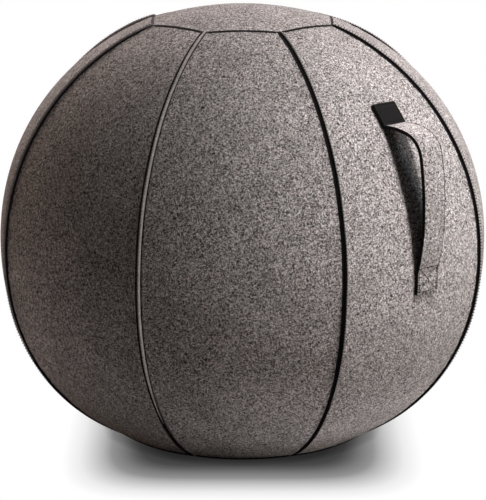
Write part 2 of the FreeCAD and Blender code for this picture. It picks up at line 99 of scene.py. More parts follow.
def latitude_of_radius(radius):
    """The latitude above the widest ring at which a seam is this far from the ball's axis."""
    rise = CROWN_RISE * (1 - (radius / SEAM_RADIUS) ** CROWN_ROUNDNESS) ** (1 / CROWN_ROUNDNESS)
    return math.atan2(rise, radius)


def from_base(latitude):
    """Metres along a seam from its lower end, near enough for tapers and ripples."""
    return seam_reach(latitude) * (latitude - LOW)


LOW = latitude_of_rise(GORE_END_HEIGHT - MIDDLE.z)
HIGH = latitude_of_radius(TOP_CORNER_RADIUS)
print("gores: latitude", round(math.degrees(LOW), 1), "to", round(math.degrees(HIGH), 1), "degrees")

# %% The felt's bow between two seams
HANDLE_SIDE = math.radians(-90)
GORE_BOW = 445 * MM


def gore_direction(number):
    """Direction of a gore's middle. Gore 1 carries the handle."""
    return HANDLE_SIDE + (number - 1) * 2 * HALF_GORE


def on_gore(direction, latitude, across, lift=0.0):
    """A point of a gore: across runs from -1 at one seam to 1 at the next."""
    reach = seam_reach(latitude)
    out = reach * math.cos(latitude) * math.cos(HALF_GORE)
    side = reach * math.cos(latitude) * math.sin(HALF_GORE)
    rise = reach * math.sin(latitude)
    tilt = math.atan2(rise, out)
    centre = math.hypot(out, rise) - math.sqrt(GORE_BOW**2 - side**2)
    bow = GORE_BOW + lift
    angle = across * math.asin(side / GORE_BOW)
    forward = centre + bow * math.cos(angle)
    point = Vector((forward * math.cos(tilt), bow * math.sin(angle), forward * math.sin(tilt)))
    return MIDDLE + Matrix.Rotation(direction, 3, "Z") @ point


widest = (on_gore(HANDLE_SIDE, 0, 0) - MIDDLE).length
print("ball:", round(2 * widest, 4), "m across its gores,", 2 * SEAM_RADIUS, "m across its seams")

# %% [markdown]
# ## Helpers for meshes
# Most pieces of a cover are cloth or thread laid along a curve. Each could be extruded and
# turned step by step, but a curve on a ball turns all the time. So one helper starts from
# a flat bmesh grid and puts each of its points in place, which bends a sheet, or rolls it
# into a closed band whose two long edges are then welded. Another helper turns the mesh
# into a piece that rides on a body of the frame.

# %% A grid that is bent to shape
WELD = 1e-6


def mix(low, high, share):
    return low + (high - low) * share


def arc_length(points):
    return sum((b - a).length for a, b in zip(points, points[1:]))


def bent_grid(across, along, place, size=(1.0, 1.0), rolled=False):
    """A grid whose point (u, v), each from 0 to 1, goes to place(u, v). Its UVs are metres."""
    mesh = bmesh.new()
    bmesh.ops.create_grid(mesh, x_segments=across, y_segments=along, size=0.5)
    layer = mesh.loops.layers.uv.new("cut")
    for face in mesh.faces:
        for loop in face.loops:
            flat = loop.vert.co
            loop[layer].uv = ((flat.x + 0.5) * size[0], (flat.y + 0.5) * size[1])
    for vert in mesh.verts:
        vert.co = place(vert.co.x + 0.5, vert.co.y + 0.5)
    if rolled:
        bmesh.ops.remove_doubles(mesh, verts=mesh.verts, dist=WELD)
        bmesh.ops.holes_fill(mesh, edges=mesh.edges, sides=0)
        bmesh.ops.recalc_face_normals(mesh, faces=mesh.faces)
    return mesh


def facing_out(mesh):
    """Turns a sheet's faces away from the middle of the ball."""
    mesh.normal_update()
    outward = sum(face.normal.dot(face.calc_center_median() - MIDDLE) for face in mesh.faces)
    if outward < 0:
        bmesh.ops.reverse_faces(mesh, faces=mesh.faces)
    mesh.normal_update()


# %% A finished piece


def finished(name, mesh, material, body, stands_for=()):
    """Turns a bmesh into a smooth piece that replaces CAD nodes.

    It rides on its body, if it is given one.
    """
    data = bpy.data.meshes.new(name)
    mesh.to_mesh(data)
    mesh.free()
    data.polygons.foreach_set("use_smooth", [True] * len(data.polygons))
    data.materials.append(material)
    piece = bpy.data.objects.new(name, data)
    bpy.context.scene.collection.objects.link(piece)
    if body:
        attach(piece, body)
    if stands_for:
        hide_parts(*stands_for)
    return piece


# %% [markdown]
# ## Helpers for materials
# A material is a small network of nodes. It could be drawn in the shader editor, but in a
# script one function can add any node, set its values and link its inputs. Colours are
# written as sRGB hex values, as a picture shows them, and turned to linear light.

# %% Colours and nodes


def linear(hex_colour):
    channels = [int(hex_colour[i : i + 2], 16) / 255 for i in (1, 3, 5)]
    curve = [c / 12.92 if c <= 0.04045 else ((c + 0.055) / 1.055) ** 2.4 for c in channels]
    return (*curve, 1.0)


def add(tree, kind, settings=None, **inputs):
    """Adds a node. An input is a value, or another node's output to link.

    An input is called by its name, or by its place, such as _6, where names repeat. Among
    the settings, stops are a colour ramp's places and hex colours.
    """
    node = tree.nodes.new(kind)
    for key, value in (settings or {}).items():
        if key != "stops":
            setattr(node, key, value)
            continue
        while len(node.color_ramp.elements) < len(value):
            node.color_ramp.elements.new(0.5)
        for element, (position, colour) in zip(node.color_ramp.elements, value):
            element.position = position
            element.color = linear(colour)
    for key, value in inputs.items():
        socket = node.inputs[int(key[1:])] if key[1:].isdigit() else node.inputs[key.replace("_", " ")]
        if isinstance(value, bpy.types.NodeSocket):
            tree.links.new(value, socket)
        else:
            socket.default_value = value
    return node


# %% A new material
COLOUR_PRODUCT = {"data_type": "RGBA", "blend_type": "MULTIPLY"}


def new_material(name):
    made = bpy.data.materials.new(name)
    made.use_nodes = True
    made.node_tree.nodes.clear()
    return made, made.node_tree


# %% [markdown]
# ### Wool-mix felt
# The cover is pressed felt: a mat of fibres that were dyed apart and then blended, so its
# colour is a melange of dark and light flecks. It has no gloss, only the soft sheen of
# fibre ends. A picture of felt could be wrapped round the ball, but it would stretch and
# repeat. A noise bent by its own distortion draws itself out into short worms anywhere on
# the ball, a finer noise roughens them, and a steep colour ramp keeps them crisp. The same
# noise lifts them a little. Single fibres are too fine for the picture, so a fleck stands
# for a tuft of them and is as coarse as it needs to be to show. The seams' ridges get a
# lighter felt, a painted highlight of their lit right faces. The cover's pattern sits in
# the object's own space, and the strap's follows its length, so that it bends with the
# strap.

# %% Felt
FLECK = 2.3 * MM
FINE_FLECK = FLECK / 2.4
FINE_SHARE = 0.3
CLOUD = 45 * MM
FELT_NAP = 0.7 * MM
MELANGE = [(0.42, "#302a28"), (0.5, "#9f9896"), (0.58, "#fffaf9")]
# Lighter felt for the seams' ridges: a painted highlight.
RIDGE_HIGHLIGHT_TONES = [(0.35, "#a8a2a0"), (0.5, "#d6d0ce"), (0.65, "#fcf8f7")]
CLOUD_TONES = [(0.3, "#ebebeb"), (0.7, "#ffffff")]


def felt_mottle(tree, where):
    """Two noises in one: worm-like flecks, and a finer grain in them."""
    worms = {"Detail": 1.5, "Roughness": 0.6, "Distortion": 1.6}
    flecks = add(tree, "ShaderNodeTexNoise", Vector=where, Scale=1 / FLECK, **worms)
    grain = {"Detail": 1.0, "Roughness": 0.6}
    fine = add(tree, "ShaderNodeTexNoise", Vector=where, Scale=1 / FINE_FLECK, **grain)
    blend = add(
        tree, "ShaderNodeMix", _0=FINE_SHARE, _2=flecks.outputs["Fac"], _3=fine.outputs["Fac"]
    )
    return blend.outputs[0]


def make_felt(name, coordinates, tones):
    made, tree = new_material(name)
    where = add(tree, "ShaderNodeTexCoord").outputs[coordinates]
    mottle = felt_mottle(tree, where)
    clouds = add(tree, "ShaderNodeTexNoise", Vector=where, Scale=1 / CLOUD, Detail=2.0)
    colour = add(tree, "ShaderNodeValToRGB", {"stops": tones}, Fac=mottle)
    shade = add(tree, "ShaderNodeValToRGB", {"stops": CLOUD_TONES}, Fac=clouds.outputs["Fac"])
    colours = {"_6": colour.outputs["Color"], "_7": shade.outputs["Color"]}
    tinted = add(tree, "ShaderNodeMix", COLOUR_PRODUCT, _0=1.0, **colours)
    bump = add(tree, "ShaderNodeBump", Height=mottle, Strength=1.0, Distance=FELT_NAP)
    matt = {"Roughness": 0.95, "Specular_IOR_Level": 0.03}
    fibre_ends = {"Sheen_Weight": 0.1, "Sheen_Roughness": 0.5}
    shader = add(
        tree,
        "ShaderNodeBsdfPrincipled",
        Base_Color=tinted.outputs[2],
        Normal=bump.outputs["Normal"],
        **matt,
        **fibre_ends,
    )
    add(tree, "ShaderNodeOutputMaterial", Surface=shader.outputs["BSDF"])
    return made


felt = make_felt("wool_mix_felt", "Object", MELANGE)
ridge_highlight_felt = make_felt("ridge_felt_painted_highlight", "Object", RIDGE_HIGHLIGHT_TONES)
strap_felt = make_felt("strap_wool_mix_felt", "UV", MELANGE)
print("felts:", felt.name, ridge_highlight_felt.name, strap_felt.name)

# %% [markdown]
# ### Thread, trim and the hidden parts' finishes
# Thread, coated cloth, rubber, film and painted metal each have one colour with a faint
# grain. Separate networks could be drawn for them, but they differ only in tone, gloss and
# the size of the grain, so one function makes them all from these values.

# %% Plain finishes
GRAIN_DEPTH = 0.3 * MM
DARK_STOP, LIGHT_STOP = 0.35, 0.75
THREAD_TWIST = 0.9 * MM
PATCH_GRAIN = 1.2 * MM
FOAM_CELL = 2.0 * MM


def make_plain(name, dark, light, roughness, specular, grain_size, strength):
    """A plain moulded, spun or painted finish with a faint grain."""
    made, tree = new_material(name)
    where = add(tree, "ShaderNodeTexCoord").outputs["Object"]
    grain = add(tree, "ShaderNodeTexNoise", Vector=where, Scale=1 / grain_size, Detail=2.0)
    bump = add(
        tree, "ShaderNodeBump", Height=grain.outputs["Fac"], Strength=strength, Distance=GRAIN_DEPTH
    )
    stops = [(DARK_STOP, dark), (LIGHT_STOP, light)]
    colour = add(tree, "ShaderNodeValToRGB", {"stops": stops}, Fac=grain.outputs["Fac"])
    shader = add(
        tree,
        "ShaderNodeBsdfPrincipled",
        Base_Color=colour.outputs["Color"],
        Roughness=roughness,
        Specular_IOR_Level=specular,
        Normal=bump.outputs["Normal"],
    )
    add(tree, "ShaderNodeOutputMaterial", Surface=shader.outputs["BSDF"])
    return made


# Spun polyester, sewn as overlock: nearly dull, with a faint gloss along its twist.
# The same black also serves as painted shade on the seams' ridges and beside them.
thread = make_plain("black_polyester_thread", "#070606", "#151313", 0.8, 0.12, THREAD_TWIST, 0.5)
# Imitation leather, a coated cloth pressed smooth: even and almost without shine.
patch_black = make_plain("black_coated_patch", "#0b0a0a", "#171616", 0.75, 0.1, PATCH_GRAIN, 0.3)
# Moulded foam rubber: dull, with its open cells as a rough grain.
rubber = make_plain("black_foam_rubber", "#121212", "#222121", 0.85, 0.3, FOAM_CELL, 0.6)
print("trim:", thread.name, patch_black.name, rubber.name)

# %% [markdown]
# ### Woven webbing
# The strap is backed with black polyester webbing, woven narrow on a ribbon loom. Its ribs
# could be modelled, but at 1.6 millimetres each is about one pixel of the picture, so two
# crossed waves of their real size give them their shade and bump.

# %% Webbing
WEB_RIB = 1.6 * MM
WEB_DEPTH = 0.4 * MM
WEB_TONES = [(0.0, "#0b0a0a"), (1.0, "#262423")]


def make_webbing(name):
    made, tree = new_material(name)
    where = add(tree, "ShaderNodeTexCoord").outputs["UV"]
    wave = {"Vector": where, "Scale": 0.5 / WEB_RIB}
    ribs = add(tree, "ShaderNodeTexWave", {"bands_direction": "Y"}, **wave)
    cross = add(tree, "ShaderNodeTexWave", {"bands_direction": "X"}, **wave)
    waves = {"_0": ribs.outputs["Fac"], "_1": cross.outputs["Fac"]}
    weave = add(tree, "ShaderNodeMath", {"operation": "MULTIPLY"}, **waves).outputs[0]
    bump = add(tree, "ShaderNodeBump", Height=weave, Strength=0.7, Distance=WEB_DEPTH)
    colour = add(tree, "ShaderNodeValToRGB", {"stops": WEB_TONES}, Fac=weave)
    shader = add(
        tree,
        "ShaderNodeBsdfPrincipled",
        Base_Color=colour.outputs["Color"],
        Roughness=0.75,
        Specular_IOR_Level=0.15,
        Normal=bump.outputs["Normal"],
    )
    add(tree, "ShaderNodeOutputMaterial", Surface=shader.outputs["BSDF"])
    return made


webbing = make_webbing("black_polyester_webbing")
print("webbing:", webbing.name, "with a rib every", round(WEB_RIB / MM, 1), "mm")

# %% Finishes of the hidden parts
FILM_GRAIN = 4 * MM
TAPE_YARN = 1.0 * MM
TOOTH_GRAIN = 3 * MM
PAINT_GRAIN = 2 * MM
VALVE_GRAIN = 5 * MM
# Soft PVC, moulded in a turning mould: smooth, with a wide soft gloss.
vinyl = make_plain("grey_ball_vinyl", "#505155", "#5c5d61", 0.45, 0.5, FILM_GRAIN, 0.1)
# Woven polyester tape: dull, with the grain of its yarn.
zip_tape = make_plain("black_zip_tape", "#0e0e0e", "#232122", 0.8, 0.2, TAPE_YARN, 0.5)
# Moulded acetal teeth: smooth and a little shiny.
teeth = make_plain("black_moulded_teeth", "#121212", "#1c1b1b", 0.4, 0.5, TOOTH_GRAIN, 0.1)
# Die-cast zinc under black paint: the paint's gloss, with a slight waviness.
zinc = make_plain("black_painted_zinc", "#161616", "#1f1e1e", 0.35, 0.5, PAINT_GRAIN, 0.15)
# Moulded polythene: off-white and waxy.
valve_white = make_plain("white_valve_plastic", "#cfcec8", "#dedcd6", 0.4, 0.5, VALVE_GRAIN, 0.1)
print("hidden parts:", *(made.name for made in (vinyl, zip_tape, teeth, zinc, valve_white)))

# %% [markdown]
# ## The CAD pieces that stay
# The inner ball with its valve, the weight ring, the foot and the zip under the ball are
# hidden or rigid. They could be remade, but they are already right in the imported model, so
# they only get a finish.

# %% Finishes on the CAD nodes
cad_materials = {
    "foot_pad": rubber,
    "base_panel": webbing,
    "weight_ring": rubber,
    "inner_ball": vinyl,
    "valve_seat": valve_white,
    "valve_plug": valve_white,
    "zip_tape_inner": zip_tape,
    "zip_tape_outer": zip_tape,
    "zip_teeth_inner": teeth,
    "zip_teeth_outer": teeth,
    "zip_stops": zinc,
    "zip_slider": zinc,
    "zip_pull": zinc,
}
for name, material in cad_materials.items():
    nodes[name].data.materials.clear()
    nodes[name].data.materials.append(material)
print("CAD pieces that stay:", len(cad_materials))

# %% [markdown]
# ## The gores
# Each gore is a flat-cut leaf of felt that the ball stretches over itself. A cloth
# simulation could stretch it, but the ball's shape is known, so a grid is bent onto it
# instead. The grid is close-meshed near the seams, where the stitches draw the felt into
# small puckers. There it has a low lip, and its edge dips under the black thread at the
# foot of the seam. The operator solidify gives it its thickness, inwards.

# %% The edge of a gore
PUCKER = 0.6 * MM
PUCKER_LENGTH = 17 * MM
PUCKER_REACH = 14 * MM
PUCKER_PHASE, SIDE_PHASE = 40, 3
LIP = 1.0 * MM
LIP_INSET = 4.6 * MM
LIP_WIDTH = 1.6 * MM
EDGE_DIP = 2.2 * MM
EDGE_REACH = 2.6 * MM


def edge_lift(inset):
    """The felt's edge: a low rounded lip, and beside it a dip under the seam's foot."""
    lip = LIP * math.exp(-(((inset - LIP_INSET) / LIP_WIDTH) ** 2))
    return lip - EDGE_DIP * math.exp(-((inset / EDGE_REACH) ** 2))


def gore_place(direction, number):
    def place(u, v):
        across = 2 * u - 1
        across *= 1.5 - 0.5 * across * across  # crowds the grid's lines towards both seams
        latitude = mix(LOW, HIGH, v)
        edge = seam_reach(latitude) * math.cos(latitude) * math.sin(HALF_GORE)
        inset = (1 - abs(across)) * edge
        phase = PUCKER_PHASE * number + (SIDE_PHASE if across > 0 else 0)
        pucker = PUCKER * noise.noise(Vector((from_base(latitude) / PUCKER_LENGTH, phase, 0)))
        lift = pucker * math.exp(-inset / PUCKER_REACH)
        return on_gore(direction, latitude, across, lift + edge_lift(inset))

    return place


# %% Eight gores
FELT = 3 * MM
GORE_ACROSS, GORE_ALONG = 72, 150
MEASURED_ACROSS, MEASURED_ALONG = 40, 90


def cover_sheet(mesh, name, material, node):
    """Gives a felt sheet its thickness and makes it a piece."""
    facing_out(mesh)
    area = sum(face.calc_area() for face in mesh.faces)
    bmesh.ops.solidify(mesh, geom=mesh.faces[:], thickness=FELT)
    piece = finished(name, mesh, material, "ball", [node])


steps = range(MEASURED_ACROSS + 1)
gore_width = arc_length([on_gore(0, 0, mix(-1, 1, step / MEASURED_ACROSS)) for step in steps])
steps = range(MEASURED_ALONG + 1)
gore_length = arc_length([on_gore(0, mix(LOW, HIGH, step / MEASURED_ALONG), 0) for step in steps])
gore_cut = (gore_width, gore_length)
for number in range(1, GORES + 1):
    place = gore_place(gore_direction(number), number)
    sheet = bent_grid(GORE_ACROSS, GORE_ALONG, place, gore_cut)
    cover_sheet(sheet, f"felt_gore_{number}", felt, f"gore_panel_{number}")
print("gore cut:", round(gore_width, 4), "by", round(gore_length, 4))

# %% [markdown]
# ## The seams between the gores
# Two gores are sewn face to face with their raw edges on the outside, so each seam stands
# up as a ridge about five millimetres high. Its foot is the black seam thread, widened to
# the left into painted shade of the crease and of the shadow that the ridge casts. A black
# band over its left face is painted shade of that face, which looks away from the lamps,
# and a lighter felt on the ridge is a painted highlight of its lit right face. Stitches of
# thread cross its top every four millimetres. A bump map could draw a line, but not one
# that stands out at the ball's edge. So a seam is three closed bands, swept along one curve
# from outlines in millimetres: the foot, the painted shade of the left face and the felt
# ridge.

# %% Outlines across a seam
# Each corner is so many millimetres to the right of the seam's curve and above it.
# The foot is the black seam thread, widened to the left into painted shade of the crease and of the
# ridge's cast shadow.
FOOT = [(-5.3, -0.6), (-5.0, 0.8), (-4.0, 1.3), (-2.2, 0.9)]
FOOT += [(2.2, 0.5), (2.8, 0.3), (3.0, -0.6), (0, -0.8)]
# A black band over the ridge's left face: painted shade of that face, which looks away from the lamps.
SHADED_LEFT_FACE = [(-1.9, -0.6), (-2.0, 1.6), (-1.8, 3.0), (-1.2, 3.7), (-0.4, 3.8), (-0.2, 3.2), (-0.2, -0.6)]
RIDGE = [(-0.4, -0.6), (-0.4, 4.1), (0.1, 4.7), (0.8, 4.7)]
RIDGE += [(1.4, 4.2), (1.8, 3.2), (1.9, 1.6), (1.9, -0.6)]
RIDGE_HEIGHT = max(lift for _, lift in RIDGE)
# On this seam the black foot also climbs the ridge's right face, as painted shade of that face and of the
# crease beside it.
SHADED_RIGHT_FACE_SEAM = 6
SHADED_TALL_FOOT = [(-5.3, -0.6), (-5.0, 0.8), (-4.0, 1.3), (1.4, 2.0)]
SHADED_TALL_FOOT += [(2.1, 2.8), (2.8, 2.5), (4.6, -0.6), (0, -0.8)]


def loop_point(outline, share):
    """A point on a closed outline in millimetres, at a share of its corners."""
    place = share * len(outline)
    corner = int(place) % len(outline)
    a, b = outline[corner], outline[(corner + 1) % len(outline)]
    rest = place - int(place)
    return mix(a[0], b[0], rest), mix(a[1], b[1], rest)


print("ridge:", RIDGE_HEIGHT, "mm high")

# %% Directions on a seam
SEAM_STEP = 0.001


def seam_direction(number):
    return gore_direction(number) + HALF_GORE


def seam_frame(direction, latitude):
    """Point, sideways and outward directions on a seam. Sideways is to the right, seen from outside."""
    along = Vector((math.cos(direction), math.sin(direction), 0))
    place = []
    for angle in (latitude - SEAM_STEP, latitude, latitude + SEAM_STEP):
        reach = seam_reach(angle)
        place.append(MIDDLE + along * reach * math.cos(angle) + Vector((0, 0, reach * math.sin(angle))))
    sideways = Vector((-math.sin(direction), math.cos(direction), 0))
    up = (place[2] - place[0]).normalized()
    return place[1], sideways, sideways.cross(up)


# %% [markdown]
# ### How a ridge changes along its seam
# Near the base the ridge narrows and its felt sinks into the thread, so only a black line
# is left. It is a little lower at the top too, and at the back of the chair it lies down
# before it gets there. Everywhere it leans slightly this way and that, as sewn felt does.

# %% A ridge's height and lean
BASE_TAPER, BASE_SHARE = 130 * MM, 0.35
BASE_DARK, BASE_NARROWING = 95 * MM, 0.42
TOP_TAPER, TOP_SHARE = 40 * MM, 0.7
BACK_SEAMS = (2, 3, 4)
BACK_TAPER, BACK_SHARE = 120 * MM, 0.15
LEAN = 1.1
LEAN_LENGTH = 70 * MM


def near_base(latitude):
    """From 0 where only thread shows to 1 where the ridge has its full size."""
    return min(max((from_base(latitude) - BASE_DARK) / BASE_TAPER, 0.0), 1.0)


def ridge_share(direction, latitude):
    """How much of its full height a ridge has: it sinks towards both of its ends."""
    number = round((direction - HANDLE_SIDE) / (2 * HALF_GORE) + 0.5)
    taper, least = (BACK_TAPER, BACK_SHARE) if number in BACK_SEAMS else (TOP_TAPER, TOP_SHARE)
    ends = [(seam_reach(latitude) * (HIGH - latitude), taper, least)]
    ends.append((from_base(latitude), BASE_TAPER, BASE_SHARE))
    share = 1.0
    for distance, taper, least in ends:
        near = min(max(distance / taper, 0.0), 1.0)
        share *= mix(least, 1.0, near * (2 - near))
    return share


def seam_point(direction, latitude, side, lift):
    """A point of a seam's cross-section, in millimetres beside and above the seam's curve."""
    point, sideways, outward = seam_frame(direction, latitude)
    lean = LEAN * noise.noise(Vector((from_base(latitude) / LEAN_LENGTH, direction * GORES, 0)))
    side *= mix(BASE_NARROWING, 1.0, near_base(latitude))
    if lift > 0:
        lift *= ridge_share(direction, latitude)
        side += lean * lift / RIDGE_HEIGHT
    return point + (sideways * side + outward * lift) * MM


# %% The bands of a seam
SEAM_ALONG = 360
STITCH_PITCH = 4.1 * MM
FELT_SINK, STITCH_SINK = 4.6, 1.3
SHADED_LEFT_FACE_RIPPLE, RIDGE_RIPPLE = 0.2, 0.25


def band_place(direction, outline, ripple, sink):
    """Puts an outline along a seam. It swells between stitches and sinks near the base."""

    def place(u, v):
        latitude = mix(LOW, HIGH, v)
        side, lift = loop_point(outline, u)
        lift = max(lift - sink * (1 - near_base(latitude)), min(lift, 0.0))
        wave = ripple * math.sin(2 * math.pi * from_base(latitude) / STITCH_PITCH)
        swell = wave * max(lift, 0) / RIDGE_HEIGHT
        return seam_point(direction, latitude, side + math.copysign(swell, side), lift + swell)

    return place


def make_band(name, direction, outline, material, stands_for=(), ripple=0.0, sink=0.0):
    mesh = bent_grid(len(outline), SEAM_ALONG, band_place(direction, outline, ripple, sink), rolled=True)
    finished(name, mesh, material, "ball", stands_for)


# %% [markdown]
# ### Stitches
# A stitch is a short loop of thread. Curves with a round bevel would be heavy, because
# there are over a hundred stitches on each seam. So one low-poly ball is made once, and
# each stitch is three copies of it, stretched from point to point over the ridge.

# %% One stitch
STITCH_SHAPE = bpy.data.meshes.new("stitch_shape")
bead = bmesh.new()
bmesh.ops.create_uvsphere(bead, u_segments=6, v_segments=4, radius=1)
bead.to_mesh(STITCH_SHAPE)
bead.free()


def add_stitch(mesh, start, end, outward, radius):
    """A short thread between two points: a copy of the low-poly ball, stretched."""
    run = end - start
    side = run.cross(outward).normalized()
    turn = Matrix((run.normalized(), side, side.cross(run).normalized())).transposed().to_4x4()
    size = Matrix.Diagonal((run.length / 2, radius, radius, 1))
    copy = STITCH_SHAPE.copy()
    copy.transform(Matrix.Translation((start + end) / 2) @ turn @ size)
    mesh.from_mesh(copy)
    bpy.data.meshes.remove(copy)


# %% Eight seams
STITCH_RADIUS = 0.7 * MM
STITCH_ROUTE = [(-2.1, 1.8), (-1.8, 3.2), (-0.5, 4.9), (0.9, 5.1)]
STITCH_MARGIN = 0.01


def seam_stitches(direction):
    """The stitches of one seam. Near the base they sink with the felt."""
    mesh = bmesh.new()
    latitude = LOW + STITCH_MARGIN
    while latitude < HIGH - STITCH_MARGIN:
        outward = seam_frame(direction, latitude)[2]
        sink = STITCH_SINK * (1 - near_base(latitude))
        places = [seam_point(direction, latitude, side, lift - sink) for side, lift in STITCH_ROUTE]
        for start, end in zip(places, places[1:]):
            add_stitch(mesh, start, end, outward, STITCH_RADIUS)
        latitude += STITCH_PITCH / seam_reach(latitude)
    return mesh


for number in range(1, GORES + 1):
    direction = seam_direction(number)
    # One seam gets the taller foot of painted shade.
    foot = SHADED_TALL_FOOT if number == SHADED_RIGHT_FACE_SEAM else FOOT
    make_band(f"seam_foot_{number}", direction, foot, thread, [f"seam_{number}"])
    # The band over the left face is painted shade.
    make_band(f"seam_painted_shade_{number}", direction, SHADED_LEFT_FACE, thread, ripple=SHADED_LEFT_FACE_RIPPLE)
    # The ridge's lighter felt is a painted highlight.
    make_band(
        f"seam_ridge_{number}", direction, RIDGE, ridge_highlight_felt, ripple=RIDGE_RIPPLE, sink=FELT_SINK
    )
    finished(f"seam_stitches_{number}", seam_stitches(direction), thread, "ball")
print("seams:", GORES, "with a stitch every", round(STITCH_PITCH / MM, 1), "mm")

# %% [markdown]
# ## The top
# The top is an octagonal felt panel, a shallow dome that carries on the bow of the gores.
# It could be cut from a sphere, but its rim has to meet the gores all the way round. So it
# is a grid too, with one way round the octagon and the other from its middle to its rim,
# and its inner row is welded to one point. A thin black ridge with stitches joins it to
# the gores.

# %% The rim and the dome
corner = on_gore(0, HIGH, 1)
crest = on_gore(0, HIGH, 0)
# The dome's middle is as far from the rim's corners as from the middles of its sides.
dome_height = (corner.length_squared - crest.length_squared) / (2 * (corner.z - crest.z))
dome_middle = Vector((0, 0, dome_height))
dome_radius = (crest - dome_middle).length


def way_round(share):
    """A gore's direction and a place across it, by a share of the way round the ball."""
    place = share % 1 * GORES
    number = int(place)
    return gore_direction(number + 1), 2 * (place - number) - 1


def rim(share):
    """A point of the octagon's rim, by its share of the way round."""
    direction, across = way_round(share)
    return on_gore(direction, HIGH, across)


print("dome:", round(dome_radius, 4), "m radius")

# %% Top panel
TOP_AROUND = 14 * GORES
TOP_RINGS = 40
TOP_CROWN = 2.4 * MM
TOP_LIP = 0.8 * MM
TOP_LIP_REACH = 2.5 * MM


def top_place(u, v):
    edge = rim(u)
    radius = Vector((edge.x, edge.y, 0)).length
    inset = (1 - v) * radius
    x, y = edge.x * v, edge.y * v
    height = math.sqrt(dome_radius**2 - x * x - y * y)
    lift = TOP_LIP * math.exp(-inset / TOP_LIP_REACH) + TOP_CROWN * (1 - v * v)
    return Vector((x, y, dome_height + height + lift))


top = bent_grid(TOP_AROUND, TOP_RINGS, top_place)
bmesh.ops.remove_doubles(top, verts=top.verts, dist=WELD)
cover_sheet(top, "felt_top", felt, "top_panel")

# %% The seam round the top
TOP_OUTLINE = [(-2.0, -1.0), (-1.9, 1.0), (-1.0, 1.9), (0.5, 2.0), (1.5, 1.2), (1.7, -1.0)]
RIM_STEPS = 320
RIM_STEP = 0.0005
TOP_STITCH_FROM, TOP_STITCH_TO = (-3.4, 1.0), (1.4, 2.0)
TOP_STITCH_RADIUS = 0.6 * MM


def rim_frame(share):
    """Point, sideways (away from the middle) and outward directions on the rim."""
    along = (rim(share + RIM_STEP) - rim(share - RIM_STEP)).normalized()
    point = rim(share)
    outward = (point - dome_middle).normalized()
    sideways = along.cross(outward).normalized()
    return point, sideways, sideways.cross(-along)


def rim_point(share, side, lift):
    """A point in millimetres beside and above the rim."""
    point, sideways, outward = rim_frame(share)
    return point + (sideways * side + outward * lift) * MM


def top_seam_place(u, v):
    return rim_point(v, *loop_point(TOP_OUTLINE, u))


top_seam = bent_grid(len(TOP_OUTLINE), RIM_STEPS, top_seam_place, rolled=True)
finished("top_seam_band", top_seam, thread, "ball", ["top_seam"])
rim_length = arc_length([rim(step / RIM_STEPS) for step in range(RIM_STEPS + 1)])
stitch_count = round(rim_length / STITCH_PITCH)
top_stitches = bmesh.new()
for number in range(stitch_count):
    share = (number + 0.5) / stitch_count
    start, end = rim_point(share, *TOP_STITCH_FROM), rim_point(share, *TOP_STITCH_TO)
    add_stitch(top_stitches, start, end, rim_frame(share)[2], TOP_STITCH_RADIUS)
finished("top_stitches", top_stitches, thread, "ball")
print("top seam:", round(rim_length, 4), "m long with", stitch_count, "stitches")

# %% [markdown]
# ## The base welt
# A round black welt closes the gores' lower ends against the foot pad. A torus would miss
# the rim, which isn't a true circle, so the welt is a rolled grid along the rim itself.

# %% Welt
WELT_RADIUS = 2.2 * MM
WELT_SIDES = 10
WELT_DROP = 1.6 * MM
WELT_TUCK = 0.6 * MM
welt_latitude = LOW - WELT_DROP / seam_reach(LOW)


def welt_place(u, v):
    direction, across = way_round(v)
    point = on_gore(direction, welt_latitude, across, -WELT_TUCK)
    outward = Vector((point.x, point.y, 0)).normalized()
    angle = 2 * math.pi * u
    tube = outward * math.cos(angle) + Vector((0, 0, math.sin(angle)))
    return point + tube * WELT_RADIUS


welt = bent_grid(WELT_SIDES, RIM_STEPS, welt_place, rolled=True)
finished("welt_cord", welt, thread, "ball", ["base_welt"])
print("welt:", round(2 * WELT_RADIUS / MM, 1), "mm thick")

# %% [markdown]
# ## The grab handle
# The strap is one length of felt over black webbing. Its ends are sewn flat to gore 1 and
# the rest stands off the ball in a long bow, so a hand fits behind it. Its route could be
# a spline, but a bent strap curves evenly between the places that hold it. So the route is
# a chain of tangent arcs in the handle's plane, through the two ends of its free part and
# the crest of the bow.

# %% The strap's places on the ball
STRAP_LIFT = 0.2 * MM
STRAP_TOP_HEIGHT = 473 * MM
STRAP_FREE_FROM = 447 * MM
STRAP_FREE_TO = 270 * MM
STRAP_END_HEIGHT = 243 * MM
HALVINGS = 50
GORE_STEP = 0.01


def outward_of(way):
    """The side of a downward direction that points away from the ball: (out, up) vectors."""
    return Vector((-way.y, way.x))


def gore_spot(height):
    """Point and downward direction on the handle's gore at a height."""
    low, high = LOW, HIGH
    for _ in range(HALVINGS):
        middle = (low + high) / 2
        low, high = (middle, high) if on_gore(0, middle, 0).z < height else (low, middle)
    places = [on_gore(0, middle + step, 0) for step in (GORE_STEP, -GORE_STEP, 0)]
    above, below, here = (Vector((place.x, place.z)) for place in places)
    down = (below - above).normalized()
    return here + outward_of(down) * STRAP_LIFT, down


top_spot, _ = gore_spot(STRAP_TOP_HEIGHT)
leave, leave_way = gore_spot(STRAP_FREE_FROM)
meet, meet_way = gore_spot(STRAP_FREE_TO)
end_spot, _ = gore_spot(STRAP_END_HEIGHT)
print("strap: free from", [round(side, 4) for side in leave], "to", [round(side, 4) for side in meet])

# %% Tangent arcs
ARC_STEPS = 60


def mirrored(way, chord):
    along = chord.normalized()
    return along * (2 * way.dot(along)) - way


